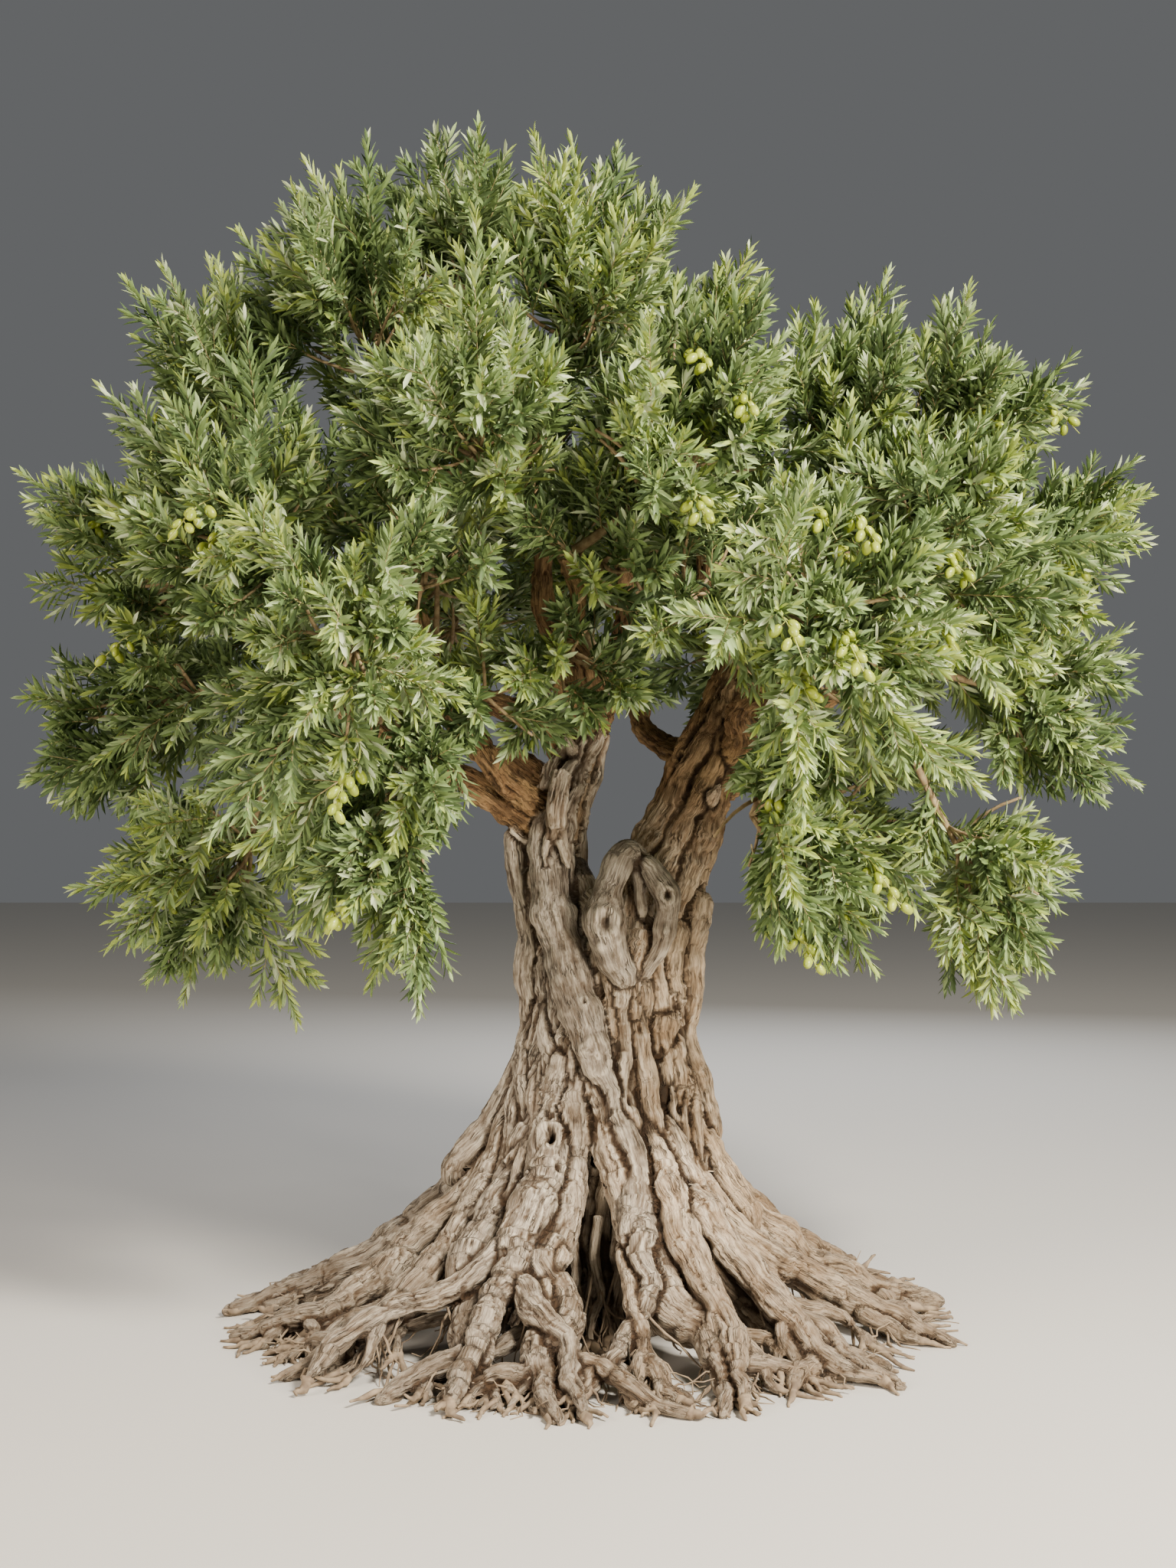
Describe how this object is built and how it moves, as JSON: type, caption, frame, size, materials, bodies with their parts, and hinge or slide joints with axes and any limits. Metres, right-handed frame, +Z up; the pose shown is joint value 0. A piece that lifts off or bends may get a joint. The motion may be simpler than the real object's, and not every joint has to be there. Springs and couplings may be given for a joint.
{
  "type": "olive tree",
  "caption": "Old olive tree: flared, twisted trunk that forks into two leaders over spreading surface roots, with boughs that carry masses of narrow leaves and green fruit.",
  "frame": {"origin": "middle of the flat cut under the trunk, at ground level, below the fork", "axes": "+Z up the trunk, +X to the right in the picture, along the fork from the left leader to the right one, +Y away from the viewer"},
  "size_m": [3.0047, 2.4971, 3.2605],
  "materials": {
    "bark": "weathered, deeply furrowed grey-tan bark",
    "root_bark": "weathered pale tan roots",
    "bough_bark": "rough brown bark",
    "foliage": "leathery olive leaves, grey-green beneath"
  },
  "bodies": {
    "root": {"bough_back": "bough_bark", "bough_crown": "bough_bark", "bough_crown_back": "bough_bark", "bough_crown_front": "bough_bark", "bough_left": "bough_bark", "bough_left_back": "bough_bark", "bough_left_front": "bough_bark", "bough_left_high": "bough_bark", "bough_right": "bough_bark", "bough_right_back": "bough_bark", "bough_right_crown": "bough_bark", "bough_right_front": "bough_bark", "bough_right_high": "bough_bark", "foliage_back_a": "foliage", "foliage_crown_a": "foliage", "foliage_crown_b": "foliage", "foliage_crown_back_a": "foliage", "foliage_crown_back_b": "foliage", "foliage_crown_front_a": "foliage", "foliage_crown_front_b": "foliage", "foliage_left_a": "foliage", "foliage_left_b": "foliage", "foliage_left_back_a": "foliage", "foliage_left_back_b": "foliage", "foliage_left_back_c": "foliage", "foliage_left_c": "foliage", "foliage_left_front_a": "foliage", "foliage_left_front_b": "foliage", "foliage_left_front_c": "foliage", "foliage_left_high_a": "foliage", "foliage_left_high_b": "foliage", "foliage_right_a": "foliage", "foliage_right_b": "foliage", "foliage_right_back_a": "foliage", "foliage_right_back_b": "foliage", "foliage_right_back_c": "foliage", "foliage_right_c": "foliage", "foliage_right_crown_a": "foliage", "foliage_right_front_a": "foliage", "foliage_right_front_b": "foliage", "foliage_right_front_c": "foliage", "foliage_right_high_a": "foliage", "foliage_right_high_b": "foliage", "leader_left": "bark", "leader_right": "bark", "root_01": "root_bark", "root_02": "root_bark", "root_03": "root_bark", "root_04": "root_bark", "root_05": "root_bark", "root_06": "root_bark", "root_07": "root_bark", "root_08": "root_bark", "root_09": "root_bark", "root_10": "root_bark", "root_11": "root_bark", "root_12": "root_bark", "root_13": "root_bark", "root_14": "root_bark", "trunk": "bark"}
  },
  "joints": []
}
